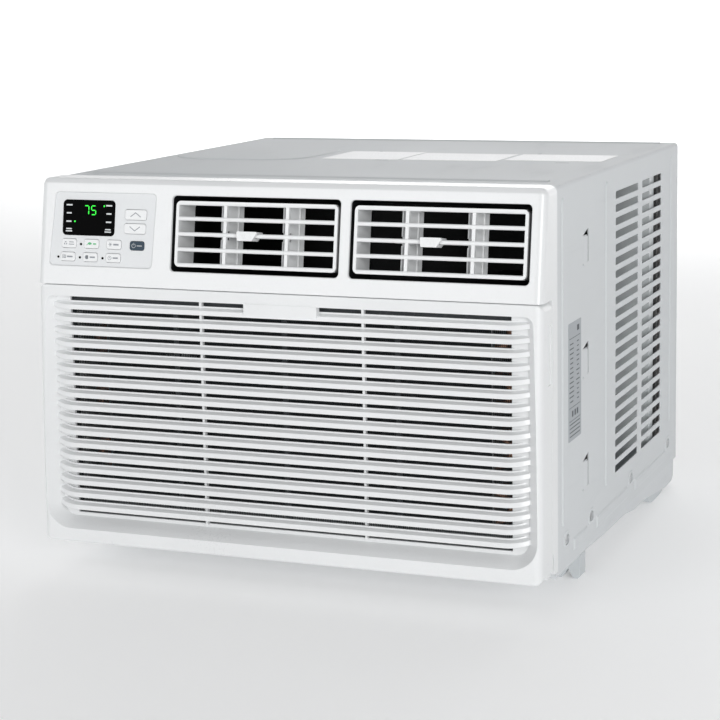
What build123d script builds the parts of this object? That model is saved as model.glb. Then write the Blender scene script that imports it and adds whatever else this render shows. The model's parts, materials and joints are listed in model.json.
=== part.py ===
# Window air conditioner: room side faces -Y, outdoor side faces +Y, up is +Z, millimetres.
# The origin is on the floor under the middle of the unit.
from build123d import *
import os
from math import atan2, cos, radians, sin

os.makedirs("parts", exist_ok=True)

# ---- overall size ----
width = 483.0
half = width / 2
height = 368.0
skirt_z = 26.0  # lower edge of the cabinet sides
front_y = -206.0  # where the cabinet ends and the bezel begins
rear_y = 257.0
sheet = 1.0
proud = 1.2  # height of every pressed bead
side_x = half - proud  # outer face of the cabinet sides
top_z = height - proud

# ---- front bezel ----
wall = 3.0
seam_z = 271.5
hood_low_y = -251.0
hood_high_y = -236.0
hood_low_z = seam_z + 0.8
hood_high_z = 364.0
tilt = atan2(hood_high_y - hood_low_y, hood_high_z - hood_low_z)
out_y = -cos(tilt)
out_z = sin(tilt)
face = Plane(origin=(0, hood_low_y, hood_low_z), x_dir=(1, 0, 0), z_dir=(0, out_y, out_z))
fascia_corners = ((-230.0, 17.4), (-124.8, 17.4), (-122.4, 84.4), (-225.5, 84.4))

# ---- air outlets, measured on the sloping face ----
outlet_x = (-24.6, 147.6)
outlet_names = ("left", "right")
outlet_v = 49.6
outlet_width = 163.0
outlet_height = 68.0
duct_wall = 1.5
frame_width = 156.4
frame_height = 59.0
frame_front = -2.5
frame_rear = -35.0
frame_axis = -19.0
bar_height = 3.7
bar_depth = 5.0
vane_step = 30.0
vane_axis = -31.0
vane_angle = -24.0
drive_radius = 17.0

# ---- intake grille ----
panel_rear_y = -222.6
panel_bottom = 30.5
panel_top = seam_z - 0.2
hinge_y = -226.0
hinge_z = 35.0
hinge_pin = 2.0
slat_pitch = 11.75
first_gap = 258.2
slat_count = 17
slat_half = 211.0

# ---- fan line ----
fan_x = 40.0
fan_z = 165.0
shaft_radius = 5.0


def save(piece, name):
    piece.part.label = name
    export_step(piece.part, "parts/" + name + ".step")


def fascia_shape(grow=0.0):
    """The control fascia's outline, drawn in the sketch that is open."""
    with BuildSketch(mode=Mode.PRIVATE) as shape:
        with BuildLine():
            Polyline(*fascia_corners, close=True)
        make_face()
        fillet(shape.vertices(), 4)
        if grow:
            offset(amount=grow, mode=Mode.REPLACE)
    add(shape.sketch)


def on_face(x, v, w):
    """A point x across, v up and w out from the sloping face."""
    return face.from_local_coords(Vector(x, v, w))


# ---- cabinet shell ----
vent_columns = ((-4.0, 84.0), (100.0, 182.0))
vent_rows = 22
vent_pitch = 12.6
vent_low = 73.7
screw_y = (-176.0, -93.5, 55.0, 214.0)
screw_z = 50.5
hook_tops = (319.0, 216.5, 113.0)
with BuildPart() as cabinet_shell:
    with BuildSketch(Plane.XZ.offset(-rear_y)) as wrapper:
        with Locations((0, (skirt_z + top_z) / 2)):
            outer = Rectangle(2 * side_x, top_z - skirt_z)
        fillet(wrapper.vertices().group_by(Axis.Y)[-1], 4)
    extrude(amount=rear_y - front_y)
    # pressed beads on both sides
    for s in (-1, 1):
        for y, low in ((-185.0, 65), (-38.0, 66), (225.5, 72)):
            with BuildSketch(Plane.YZ.offset(s * side_x)):
                with Locations((y, (low + 355) / 2)):
                    SlotOverall(355 - low, 9.4, rotation=90)
            extrude(amount=s * proud, taper=50)
        for y0, y1 in ((-152.0, -108.0), (-74.0, 42.0), (73.0, 203.0)):
            with BuildSketch(Plane.YZ.offset(s * side_x)):
                with Locations(((y0 + y1) / 2, 40)):
                    Rectangle(y1 - y0, 11.5)
            extrude(amount=s * proud, taper=52)
        for y in screw_y:
            with BuildSketch(Plane.YZ.offset(s * side_x)):
                with Locations((y + 2.2, screw_z)):
                    SlotOverall(21, 15)
            extrude(amount=s * 0.5, taper=45)
    # cross beads, stamped panel and screw dimples on the top
    for y in (-168.0, 246.0):
        with Locations((0, y, top_z - 7.8)):
            Cylinder(9, 2 * side_x - 34, rotation=(0, 90, 0))
    with BuildSketch(Plane.XY.offset(top_z)):
        with Locations((-154, 56)):
            RectangleRounded(150, 148, 44)
    extrude(amount=proud, taper=45)
    # hollow inside, with turned-in flanges at the rear
    with BuildSketch(Plane.XZ.offset(-rear_y)):
        with Locations((0, (top_z - sheet) / 2)):
            RectangleRounded(2 * (side_x - sheet), top_z - sheet, 3)
    extrude(amount=rear_y - front_y, mode=Mode.SUBTRACT)
    for s in (-1, 1):
        with Locations((s * (side_x - 17), rear_y - 0.6, (skirt_z + top_z) / 2)):
            Box(33, 1.2, top_z - skirt_z - 6)
    with Locations((0, rear_y - 0.6, top_z - 7)):
        Box(2 * side_x - 5, 1.2, 13)
    # openings
    with BuildSketch(Plane.YZ.offset(-half - 5)):
        for y0, y1 in vent_columns:
            for i in range(vent_rows):
                with Locations(((y0 + y1) / 2, vent_low + i * vent_pitch)):
                    RectangleRounded(y1 - y0, 7.2, 1.8)
        for y in screw_y:
            with Locations((y + 2.2, screw_z)):
                SlotOverall(13.6, 9.2)
        for z in hook_tops:
            with BuildLine():
                Polyline((-121, z - 5), (-104, z), (-101, z), (-101, z - 30), (-107.2, z - 30),
                         (-107.2, z - 5), close=True)
            make_face()
            with Locations((-119.5, z - 31)):
                Circle(1.3)
    extrude(amount=width + 10, mode=Mode.SUBTRACT)
    with BuildSketch(Plane.XY.offset(top_z - 3)):
        with Locations((-36, 100), (135, 100)):
            Circle(2.5)
        with Locations((0.5, 6), (184.5, 8)):
            SlotOverall(15, 4.5)
    extrude(amount=8, mode=Mode.SUBTRACT)
    # hole for the power cord's gland on the left side
    with Locations((-side_x, -150, 78)):
        Cylinder(9, 8, rotation=(0, 90, 0), mode=Mode.SUBTRACT)
    # tabs beside the hook slots stand a little out of the sheet
    for s in (-1, 1):
        for z in hook_tops:
            with BuildSketch(Plane.XY.offset(z - 29)):
                with BuildLine():
                    Polyline((s * side_x, -119), (s * (side_x + 1.0), -108), (s * side_x, -107.6),
                             close=True)
                make_face()
            extrude(amount=23)
# the wrapper is kept as its flat walls, which meet at the folds
roof_z = top_z - sheet
rim_y = rear_y - 1.2
cabinet_walls = {
    "cabinet_top": ((-half, front_y, roof_z), (half, rear_y, height)),
    "cabinet_left_side": ((-half, front_y, 0), (0, rim_y, roof_z)),
    "cabinet_right_side": ((0, front_y, 0), (half, rim_y, roof_z)),
    "cabinet_rear_rim": ((-half, rim_y, 0), (half, rear_y, roof_z)),
}
for name, (low, high) in cabinet_walls.items():
    with BuildPart() as wall_part:
        add(cabinet_shell.part)
        with Locations((Vector(*low) + Vector(*high)) / 2):
            Box(*(Vector(*high) - Vector(*low)), mode=Mode.INTERSECT)
    save(wall_part, name)

# ---- base pan: shallow under the room side, a deep sump under the condenser ----
pan_x = side_x - sheet - 0.1
with BuildPart() as base_pan:
    with BuildSketch(Plane.YZ.offset(-pan_x)) as pan_side:
        with BuildLine():
            Polyline((-205, 62), (-205, 23), (-106, 22.5), (-46, 19.5), (40, 18), (77, 13), (125, 12.4),
                     (212, 3), (250, 3), (250, 62), close=True)
        make_face()
        fillet(pan_side.vertices().sort_by_distance((250, 3))[0], 10)
    extrude(amount=2 * pan_x)
    with BuildSketch(Plane.YZ.offset(-pan_x + 1.2)) as pan_inside:
        with BuildLine():
            Polyline((-203.8, 70), (-203.8, 24.2), (-106, 23.7), (-46, 20.7), (40, 19.2), (77, 14.2),
                     (125, 13.6), (212, 4.2), (248.8, 4.2), (248.8, 70), close=True)
        make_face()
        fillet(pan_inside.vertices().sort_by_distance((248.8, 4.2))[0], 9)
    extrude(amount=2 * (pan_x - 1.2), mode=Mode.SUBTRACT)
    # the rear upstand is low so that air can leave the condenser
    with Locations((0, 249, 50)):
        Box(2 * pan_x - 40, 6, 40, mode=Mode.SUBTRACT)
    # screw holes in the side flanges, each with a clearance hole beside it
    for y in screw_y:
        with Locations((0, y, screw_z)):
            Cylinder(2.05, 2 * pan_x + 4, rotation=(0, 90, 0), mode=Mode.SUBTRACT)
        with Locations((0, y + 5.9, screw_z)):
            Cylinder(3.2, 2 * pan_x + 4, rotation=(0, 90, 0), mode=Mode.SUBTRACT)
    # ridge that carries the bulkhead
    with Locations((0, -61, 27)):
        Box(2 * pan_x - 8, 8, 12)
    # three pads for the compressor
    for a, foot_z in ((90, 14.6), (210, 19.5), (330, 19.5)):
        with Locations((-150 + 66 * cos(radians(a)), 8 + 66 * sin(radians(a)), (foot_z + 28) / 2)):
            Cylinder(9, 28 - foot_z)
pan_side_x = pan_x - 1.2
pan_walls = {
    "base_pan": ((-pan_side_x, -210, 0), (pan_side_x, 260, 70)),
    "pan_left_flange": ((-half, -210, 0), (-pan_side_x, 260, 70)),
    "pan_right_flange": ((pan_side_x, -210, 0), (half, 260, 70)),
}
for name, (low, high) in pan_walls.items():
    with BuildPart() as pan_part:
        add(base_pan.part)
        with Locations((Vector(*low) + Vector(*high)) / 2):
            Box(*(Vector(*high) - Vector(*low)), mode=Mode.INTERSECT)
    save(pan_part, name)

# ---- feet ----
with BuildPart() as front_feet:
    for s in (-1, 1):
        with BuildSketch(Plane.XZ.offset(107)):
            with BuildLine():
                Polyline((s * 207, 22), (s * 207, 6), (s * 210, 0), (s * 222, 0), (s * 228, 9),
                         (s * 233, 0), (s * 237, 0), (s * 239, 2), (s * 239, 22), close=True)
            make_face()
        extrude(amount=19)
        with Locations((s * 223, -117, 14)):
            Box(24, 12, 20, mode=Mode.SUBTRACT)
save(front_feet, "front_feet")

with BuildPart() as rear_feet:
    for s in (-1, 1):
        with BuildSketch(Plane.YZ.offset(s * 224 - 14)) as foot_side:
            with BuildLine():
                Polyline((143, 10.3), (146, 3), (158, 0), (190, 0), (203, 1.5), (206, 3.5), close=True)
            make_face()
            fillet(foot_side.vertices().sort_by(Axis.Y)[:3], 1.4)
        extrude(amount=28)
save(rear_feet, "rear_feet")

# ---- sheet metal screws through the cabinet sides into the base pan ----
with BuildPart() as cabinet_screws:
    for s in (-1, 1):
        for y in screw_y:
            with Locations((s * (pan_x + 0.65), y, screw_z)):
                Cylinder(3.9, 1.1, rotation=(0, 90, 0))
            with Locations((s * (pan_x - 4), y, screw_z)):
                Cylinder(2.0, 8.4, rotation=(0, 90, 0))
            with Locations((s * (pan_x + 1.2), y, screw_z)):
                Box(1.2, 5.4, 0.9, mode=Mode.SUBTRACT)
                Box(1.2, 0.9, 5.4, mode=Mode.SUBTRACT)
save(cabinet_screws, "cabinet_screws")

# ---- front bezel: sloping hood with the outlets, and a frame around the intake ----
with BuildPart() as front_bezel:
    with BuildSketch(Plane.YZ.offset(-half)) as hood:
        with BuildLine():
            Polyline((front_y, hood_low_z), (hood_low_y, hood_low_z), (hood_high_y, hood_high_z),
                     (hood_high_y + 4, height), (front_y, height), close=True)
        make_face()
        fillet(hood.vertices().sort_by_distance((hood_high_y, hood_high_z))[:2], 2.6)
    extrude(amount=width)
    side_edges = front_bezel.edges().filter_by(
        lambda e: abs(abs(e.center().X) - half) < 0.01 and e.center().Y < -208
        and e.center().Z > hood_low_z + 1)
    fillet(side_edges, 7)
    with BuildSketch(Plane.YZ.offset(-half + wall)):
        with BuildLine():
            Polyline((front_y + 6, hood_low_z + wall), (-247.5, hood_low_z + wall), (-232.8, height - wall),
                     (front_y + 6, height - wall), close=True)
        make_face()
    extrude(amount=width - 2 * wall, mode=Mode.SUBTRACT)
    # outlet openings and the opening for the control fascia
    with BuildSketch(face.offset(1)) as openings:
        for x in outlet_x:
            with Locations((x, outlet_v)):
                RectangleRounded(outlet_width, outlet_height, 4)
        fascia_shape()
    extrude(amount=-9, mode=Mode.SUBTRACT)
    rims = front_bezel.edges().filter_by(
        lambda e: abs(face.to_local_coords(e.center()).Z) < 0.01
        and abs(e.center().X) < 231 and 12 < face.to_local_coords(e.center()).Y < 88)
    fillet(rims, 1.1)
    # frame around the intake panel
    for s in (-1, 1):
        with BuildSketch(Plane.YZ.offset(s * half)):
            with BuildLine():
                Polyline((front_y, panel_bottom), (-216, panel_bottom), (-219.6, 48), (-222, 52),
                         (-222, hood_low_z + 1), (front_y, hood_low_z + 1), close=True)
            make_face()
        extrude(amount=-s * wall)
    with BuildSketch(Plane.XZ.offset(-front_y)):
        with Locations((0, (panel_bottom + 275) / 2)):
            Rectangle(width - 1, 275 - panel_bottom)
        with Locations((0, 154)):
            RectangleRounded(440, 212, 6, mode=Mode.SUBTRACT)
    extrude(amount=wall)
    with Locations((0, -209, panel_bottom + 1.5)):
        Box(width - 1, 6, 3)
    # arms that carry the hinge pins of the intake panel
    for s in (-1, 1):
        with BuildSketch(Plane.YZ.offset(s * 231 - 2.5)):
            with BuildLine():
                Polyline((front_y - 1, 31), (hinge_y, 31), (hinge_y, 39), (front_y - 1, 46), close=True)
            make_face()
            with Locations((hinge_y, hinge_z)):
                Circle(4)
                Circle(hinge_pin, mode=Mode.SUBTRACT)
        extrude(amount=5)
    # catches over the panel's top corners
    for x in (-170, 0, 170):
        with Locations((x, -214, hood_low_z - 3)):
            Box(14, 10, 6.5)
    # inner rim that slips into the cabinet
    with BuildSketch(Plane.XZ.offset(2 - front_y)):
        with Locations((0, 320.1)):
            RectangleRounded(477.2, 90, 4)
            Rectangle(472, 86, mode=Mode.SUBTRACT)
        with Locations((0, 280)):
            Rectangle(472, 20, mode=Mode.SUBTRACT)
    extrude(amount=-10)
save(front_bezel, "front_bezel")

# ---- hinge pins of the intake panel ----
with BuildPart() as grille_hinge_pins:
    for s in (-1, 1):
        with Locations((s * 233.4, hinge_y, hinge_z)):
            Cylinder(hinge_pin, 9.8, rotation=(0, 90, 0))
save(grille_hinge_pins, "grille_hinge_pins")

# ---- intake panel with its curved slats ----
with BuildPart() as intake_grille:
    with BuildSketch(Plane.YZ.offset(-half)) as panel_side:
        with BuildLine():
            Polyline((panel_rear_y, panel_bottom), (-257, panel_bottom), (-256.4, 86), (-254.6, 160),
                     (-252, 222), (-249.6, panel_top), (panel_rear_y, panel_top), close=True)
        make_face()
        fillet(panel_side.vertices().sort_by_distance((-257, panel_bottom))[0], 3)
        fillet(panel_side.vertices().sort_by_distance((-249.6, panel_top))[0], 1.2)
    extrude(amount=width)
    upright = intake_grille.edges().filter_by(
        lambda e: abs(abs(e.center().X) - half) < 0.01 and e.center().Y < -248 and e.length > 40)
    fillet(upright, 7)
    with BuildSketch(Plane.YZ.offset(-half + wall)):
        with BuildLine():
            Polyline((panel_rear_y + 5, panel_bottom + wall), (-253.9, panel_bottom + wall), (-253.3, 86),
                     (-251.5, 160), (-249, 222), (-246.5, panel_top - wall),
                     (panel_rear_y + 5, panel_top - wall), close=True)
        make_face()
    extrude(amount=width - 2 * wall, mode=Mode.SUBTRACT)
    # scooped recess with sloping walls
    with BuildSketch(Plane.YZ.offset(-237)):
        with BuildLine():
            Polyline((-239.5, 40), (-256, 40), (-255.4, 86), (-253.6, 160), (-251, 222), (-249, 267),
                     (-239.5, 267), close=True)
        make_face()
    extrude(amount=474)
    for depth, across, low, lower_corner, upper_corner in ((242.5, 453, 52.7, 12, 4),
                                                           (258.5, 480.6, 42.5, 27, 11)):
        with BuildSketch(Plane.XZ.offset(depth)) as rim:
            with Locations((0, (low + 261.2) / 2)):
                Rectangle(across, 261.2 - low)
            fillet(rim.vertices().group_by(Axis.Y)[0], lower_corner)
            fillet(rim.vertices().group_by(Axis.Y)[-1], upper_corner)
    loft(mode=Mode.SUBTRACT)
    with BuildSketch(Plane.XZ.offset(236)):
        with Locations((0, 158.4)):
            Rectangle(2 * slat_half + 2, 205)
    extrude(amount=8, mode=Mode.SUBTRACT)
    # slats follow a path that is straight in the middle and dives back at both ends
    for i in range(slat_count):
        z = first_gap - slat_pitch * (i + 0.5)
        front = -253.4 + 4.2 * ((z - 58) / 200)
        dive = -244.4 - front
        lean = Plane(origin=(0, front + 0.6, z), x_dir=(1, 0, 0),
                     z_dir=(0, -sin(radians(20)), cos(radians(20))))
        with BuildLine(lean) as course:
            Polyline((-206, 0), (206, 0))
            ThreePointArc((206, 0), (219, 0.26 * dive), (229.5, dive))
            ThreePointArc((-206, 0), (-219, 0.26 * dive), (-229.5, dive))
        with BuildSketch(Plane(origin=(0, front + 0.6, z), x_dir=(0, 1, 0), z_dir=(1, 0, 0))) as blade:
            with BuildLine():
                Polyline((-0.6, -3.5), (0, 0.9), (4.3, 2.9), (4.6, 4.1), (6.2, 4.1), (6.2, 2.5),
                         (1.7, -0.9), (1.0, -3.3), close=True)
            make_face()
            fillet(blade.vertices().group_by(Axis.X)[0] + blade.vertices().group_by(Axis.X)[1], 0.5)
        sweep(path=course.wires()[0])
    # webs behind the slats and the pull tab at the top
    for x in (-78, 78):
        with Locations((x, -243, 158.2)):
            Box(2.2, 4.5, 206)
    with Locations((2, -247.2, 256.5)):
        Box(70, 7, 10)
    # lugs for the hinge pins, notches for the hinge arms
    for s in (-1, 1):
        with Locations((s * 231, -227, 33)):
            Box(6.4, 12, 9, mode=Mode.SUBTRACT)
        with Locations((s * 237.2, -228, 36)):
            Box(4.6, 10.8, 11)
        with Locations((s * 236.7, hinge_y, hinge_z)):
            Cylinder(hinge_pin + 0.08, 6, rotation=(0, 90, 0), mode=Mode.SUBTRACT)
        with Locations((s * (half - 0.5), -230, 226)):
            Box(1.0, 9, 52, mode=Mode.SUBTRACT)
    # guides for the filter
    for s in (-1, 1):
        with Locations((s * 218.2, -235.8, 154)):
            Box(2.4, 8, 200)
        with Locations((s * 216.2, -232.4, 154)):
            Box(6, 1.6, 200)
    with Locations((0, -235.8, 48.6)):
        Box(420, 8, 2.4)
save(intake_grille, "intake_grille")

# ---- ducts behind the two outlets ----
with BuildPart() as outlet_ducts:
    for x in outlet_x:
        with BuildSketch(face.offset(-wall)):
            with Locations((x, outlet_v)):
                Rectangle(outlet_width + 2 * duct_wall, outlet_height + 2 * duct_wall)
                Rectangle(outlet_width, outlet_height, mode=Mode.SUBTRACT)
        extrude(amount=-52)
        for s in (-1, 1):
            end = Plane(origin=on_face(x + s * 78.7, outlet_v, frame_axis), z_dir=(s, 0, 0))
            with BuildSketch(end):
                Circle(5)
            extrude(amount=outlet_width / 2 + duct_wall - 78.7)
            with BuildSketch(end):
                Circle(2.08)
            extrude(amount=5.2, mode=Mode.SUBTRACT)
save(outlet_ducts, "outlet_ducts")

# ---- louvres, vanes and the sliders that turn the vanes ----
bar_v = [i * (frame_height - bar_height) / 4 for i in (-2, -1, 0, 1, 2)]
pin_shift = drive_radius * sin(radians(vane_angle))
for name, x in zip(outlet_names, outlet_x):
    with BuildPart() as louver_frame:
        with BuildSketch(face.offset(frame_front)):
            with Locations((x, outlet_v)):
                RectangleRounded(frame_width, frame_height, 4.5)
                RectangleRounded(frame_width - 5.6, frame_height - 4, 2.2, mode=Mode.SUBTRACT)
        extrude(amount=frame_rear - frame_front)
        # horizontal bars with a rounded front
        for v in bar_v:
            with BuildSketch(Plane(origin=on_face(x - frame_width / 2 + 2.5, outlet_v + v, frame_front),
                                   x_dir=(0, out_y, out_z), z_dir=(1, 0, 0))) as bar:
                with Locations((-bar_depth / 2, 0)):
                    Rectangle(bar_depth, bar_height)
                fillet(bar.vertices().group_by(Axis.X)[-1], 1.4)
            extrude(amount=frame_width - 5)
        for s in (-1, 1):
            with BuildSketch(face.offset(frame_front - 1)):
                with Locations((x + s * vane_step, outlet_v)):
                    Rectangle(3, frame_height - 3)
            extrude(amount=-4)
        # end pins, and holes for the vane pins
        for s in (-1, 1):
            with BuildSketch(Plane(origin=on_face(x + s * (frame_width / 2 - 1), outlet_v, frame_axis),
                                   z_dir=(s, 0, 0))):
                Circle(2)
            extrude(amount=5.4)
            with BuildSketch(Plane(origin=on_face(x + s * vane_step, outlet_v - 40, vane_axis),
                                   z_dir=face.y_dir)):
                Circle(1.68)
            extrude(amount=80, mode=Mode.SUBTRACT)
    save(louver_frame, name + "_louver_frame")

    for side, s in (("left", -1), ("right", 1)):
        across = Vector(cos(radians(vane_angle)), 0, 0) - face.z_dir * sin(radians(vane_angle))
        pivot = Plane(origin=on_face(x + s * vane_step, outlet_v, vane_axis), x_dir=across, z_dir=face.y_dir)
        with BuildPart(pivot) as vane:
            # the vane runs forward along -y of its own pivot
            with Locations((0, -6.5, 0)):
                Box(1.6, 25, 53.4)
            with Locations((0, -18, 0)):
                Box(4, 17, 8, mode=Mode.SUBTRACT)
            Cylinder(1.6, 58.2)
            with Locations((0, -drive_radius, 0)):
                Cylinder(1.2, 10)
        save(vane, name + "_" + side + "_vane")

    centre = x + pin_shift
    with BuildPart() as vane_slider:
        with BuildSketch(face.offset(-10.7)):
            with Locations((centre, outlet_v)):
                RectangleRounded(2 * vane_step + 15, 3.8, 1)
        extrude(amount=-8.4)
        with BuildSketch(face.offset(1.3)) as tab:
            with BuildLine():
                Polyline((centre - 9.5, outlet_v + 3.6), (centre - 8.7, outlet_v - 4.6),
                         (centre + 5.5, outlet_v - 4.6), (centre + 10.5, outlet_v + 3.6), close=True)
            make_face()
            fillet(tab.vertices(), 0.9)
        extrude(amount=-14.3)
        # tunnel for the middle bar
        with BuildSketch(face.offset(-2.1)):
            with Locations((centre, outlet_v)):
                Rectangle(30, bar_height + 0.7)
        extrude(amount=-6.0, mode=Mode.SUBTRACT)
        # slots for the drive pins of the two vanes
        for s in (-1, 1):
            with BuildSketch(Plane(origin=on_face(centre + s * vane_step, outlet_v - 5, -15.1),
                                   x_dir=(1, 0, 0), z_dir=face.y_dir)):
                RectangleRounded(3.6, 5.9, 1.5)
            extrude(amount=10, mode=Mode.SUBTRACT)
        # finger ridges
        for i in (-2, -1, 0, 1, 2):
            with BuildSketch(face.offset(1.2)):
                with Locations((centre - 0.6 + 2.2 * i, outlet_v - 0.6)):
                    RectangleRounded(0.9, 5.0, 0.4)
            extrude(amount=0.5)
    save(vane_slider, name + "_vane_slider")

# ---- control fascia, display and buttons ----
buttons = {
    "raise_button": (-142.6, 65.2, 21.8, 9.2),
    "lower_button": (-143.0, 52.6, 21.8, 9.2),
    "power_button": (-140.2, 37.3, 14.3, 8.0),
    "fan_button": (-210.0, 37.7, 15.0, 8.2),
    "saver_button": (-186.8, 37.7, 15.0, 8.2),
    "mode_button": (-163.8, 37.7, 15.0, 8.2),
    "filter_button": (-210.8, 25.5, 15.0, 8.0),
    "night_button": (-187.6, 25.5, 15.0, 8.0),
    "timer_button": (-164.0, 25.5, 15.0, 8.0),
}
lamps = ((-197.9, 37.2), (-220.9, 25.0), (-198.5, 25.0), (-175.1, 25.0))
display_x = -190.7
display_v = 61.4
display_w = 53.5
display_h = 32.4
with BuildPart() as control_fascia:
    with BuildSketch(face.offset(-1.2)):
        fascia_shape(-0.15)
    extrude(amount=-2.0)
    with BuildSketch(face.offset(-wall - 0.05)):
        fascia_shape(3)
    extrude(amount=-1.6)
    with BuildSketch(face):
        for x, v, w, h in buttons.values():
            with Locations((x, v)):
                RectangleRounded(w + 0.7, h + 0.7, 2.4)
        for x, v in lamps:
            with Locations((x, v)):
                Circle(1.2)
        with Locations((display_x, display_v)):
            RectangleRounded(display_w + 0.3, display_h + 0.3, 4)
    extrude(amount=-6, mode=Mode.SUBTRACT)
save(control_fascia, "control_fascia")

for name, (x, v, w, h) in buttons.items():
    with BuildPart() as button:
        with BuildSketch(face.offset(-6.4)):
            with Locations((x, v)):
                RectangleRounded(w + 1.8, h + 1.8, 2)
        extrude(amount=1.2)
        with BuildSketch(face.offset(-5.3)):
            with Locations((x, v)):
                RectangleRounded(w, h, 2)
        extrude(amount=4.9)
        crown = button.faces().sort_by(Axis(face.origin, face.z_dir))[-1].edges()
        fillet(crown, 0.5)
    save(button, name)

with BuildPart() as display_window:
    with BuildSketch(face.offset(-4.4)):
        with Locations((display_x, display_v)):
            RectangleRounded(display_w, display_h, 4)
    extrude(amount=3.5)
save(display_window, "display_window")

# seven-segment figures: x, v of the middle, then the lit bars
digits = ((-193.2, "abc"), (-186.0, "acdfg"))
segments = {
    "a": (0, 4.0, 3.4, 0.9), "b": (2.2, 2.0, 0.9, 3.2), "c": (2.2, -2.0, 0.9, 3.2),
    "d": (0, -4.0, 3.4, 0.9), "f": (-2.2, 2.0, 0.9, 3.2), "g": (0, 0, 3.4, 0.9),
}
with BuildPart() as display_digits:
    with BuildSketch(face.offset(-0.9)):
        for x, lit in digits:
            for key in lit:
                dx, dv, w, h = segments[key]
                with Locations((x + dx, 68.3 + dv)):
                    Rectangle(w, h)
        for x, v in ((-175.2, 72.3), (-204.9, 57.8)):
            with Locations((x, v)):
                Circle(0.8)
    extrude(amount=0.15)
save(display_digits, "display_digits")

with BuildPart() as indicator_lamps:
    with BuildSketch(face.offset(-6)):
        for x, v in lamps:
            with Locations((x, v)):
                Circle(1.1)
    extrude(amount=4.9)
save(indicator_lamps, "indicator_lamps")

with BuildPart() as control_board:
    with BuildSketch(face.offset(-8.8)):
        with Locations((-176, 51)):
            Rectangle(98, 62)
    extrude(amount=-1.6)
    with BuildSketch(face.offset(-10.3)):
        for x, v, w, h in ((-205, 60, 18, 18), (-170, 66, 24, 12), (-150, 40, 16, 20), (-196, 34, 10, 10),
                           (-172, 36, 8, 14)):
            with Locations((x, v)):
                Rectangle(w, h)
    extrude(amount=-7)
save(control_board, "control_board")

# ---- labels: blank plates ----
with BuildPart() as rating_label:
    with BuildSketch(Plane.YZ.offset(side_x)):
        with Locations((-147.5, 189)):
            RectangleRounded(41, 106, 1)
    extrude(amount=0.2)
save(rating_label, "rating_label")

with BuildPart() as top_labels:
    with BuildSketch(Plane.XY.offset(top_z)):
        for x0, x1, y0, y1 in ((-66, 15, 12, 98), (18, 116, 14, 90), (121, 218, 26, 92)):
            with Locations(((x0 + x1) / 2, (y0 + y1) / 2)):
                RectangleRounded(x1 - x0, y1 - y0, 1)
    extrude(amount=0.2)
save(top_labels, "top_labels")


# ---- coils ----
def fin_block(x0, x1, y0, y1, z0, z1, pitch):
    """A finned block with slits from both faces and a web left in the middle."""
    depth = (y1 - y0) / 2 - 3
    with Locations(((x0 + x1) / 2, (y0 + y1) / 2, (z0 + z1) / 2)):
        Box(x1 - x0, y1 - y0, z1 - z0)
    count = int((x1 - x0 - 4) / pitch)
    first = (x0 + x1) / 2 - (count - 1) * pitch / 2
    for i in range(count):
        with Locations((first + i * pitch, y0 + depth / 2 - 0.5, (z0 + z1) / 2),
                       (first + i * pitch, y1 - depth / 2 + 0.5, (z0 + z1) / 2)):
            Box(pitch * 0.62, depth + 1, z1 - z0 - 4, mode=Mode.SUBTRACT)


def tube_levels(z0, z1, count):
    return [z0 + (z1 - z0) * (i + 0.5) / count for i in range(count)]


def serpentine(x0, x1, y, levels, radius):
    """One tube that runs back and forth across the block, joined by return bends."""
    bend = (levels[1] - levels[0]) / 2
    with BuildLine() as run:
        for i, z in enumerate(levels):
            Line((x0, y, z), (x1, y, z))
            if i < len(levels) - 1:
                x, s = (x1, 1) if i % 2 == 0 else (x0, -1)
                ThreePointArc((x, y, z), (x + s * bend, y, z + bend), (x, y, z + 2 * bend))
    with BuildSketch(Plane(origin=(x0, y, levels[0]), z_dir=(1, 0, 0))) as ring:
        Circle(radius)
    sweep(sections=ring.sketch, path=run.wires()[0])


evap_levels = tube_levels(52, 262, 8)
with BuildPart() as evaporator_fins:
    fin_block(-200, 180, -198, -160, 52, 262, 9.5)
    for z in evap_levels:
        for y in (-188, -170):
            with Locations((-10, y, z)):
                Cylinder(4.8, 400, rotation=(0, 90, 0), mode=Mode.SUBTRACT)
save(evaporator_fins, "evaporator_fins")

with BuildPart() as evaporator_tubes:
    for y in (-188, -170):
        serpentine(-202, 182, y, evap_levels, 4.7)
save(evaporator_tubes, "evaporator_tubes")

cond_levels = tube_levels(20, 348, 12)
with BuildPart() as condenser_fins:
    fin_block(-206, 206, 168, 212, 20, 348, 9.5)
    for z in cond_levels:
        for y in (179, 201):
            with Locations((0, y, z)):
                Cylinder(4.8, 430, rotation=(0, 90, 0), mode=Mode.SUBTRACT)
save(condenser_fins, "condenser_fins")

with BuildPart() as condenser_tubes:
    for y in (179, 201):
        serpentine(-208, 208, y, cond_levels, 4.7)
save(condenser_tubes, "condenser_tubes")

with BuildPart() as rear_guard:
    with BuildSketch(Plane.XZ.offset(-255.7)):
        with Locations((0, 208)):
            RectangleRounded(464, 308, 8)
            RectangleRounded(448, 292, 5, mode=Mode.SUBTRACT)
    extrude(amount=2.4)
    for i in range(25):
        with Locations(((i - 12) * 18.2, 253.6, 208)):
            Cylinder(1.1, 304)
    for i in range(6):
        with Locations((0, 252.6, 86 + i * 48.8)):
            Cylinder(1.3, 460, rotation=(0, 90, 0))
save(rear_guard, "rear_guard")

# ---- control box and capacitor ----
with BuildPart() as control_box:
    with Locations((-173, -153, 314)):
        Box(112, 84, 92)
    with Locations((-173, -155, 314)):
        Box(109.6, 86, 89.6, mode=Mode.SUBTRACT)
save(control_box, "control_box")

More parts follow.
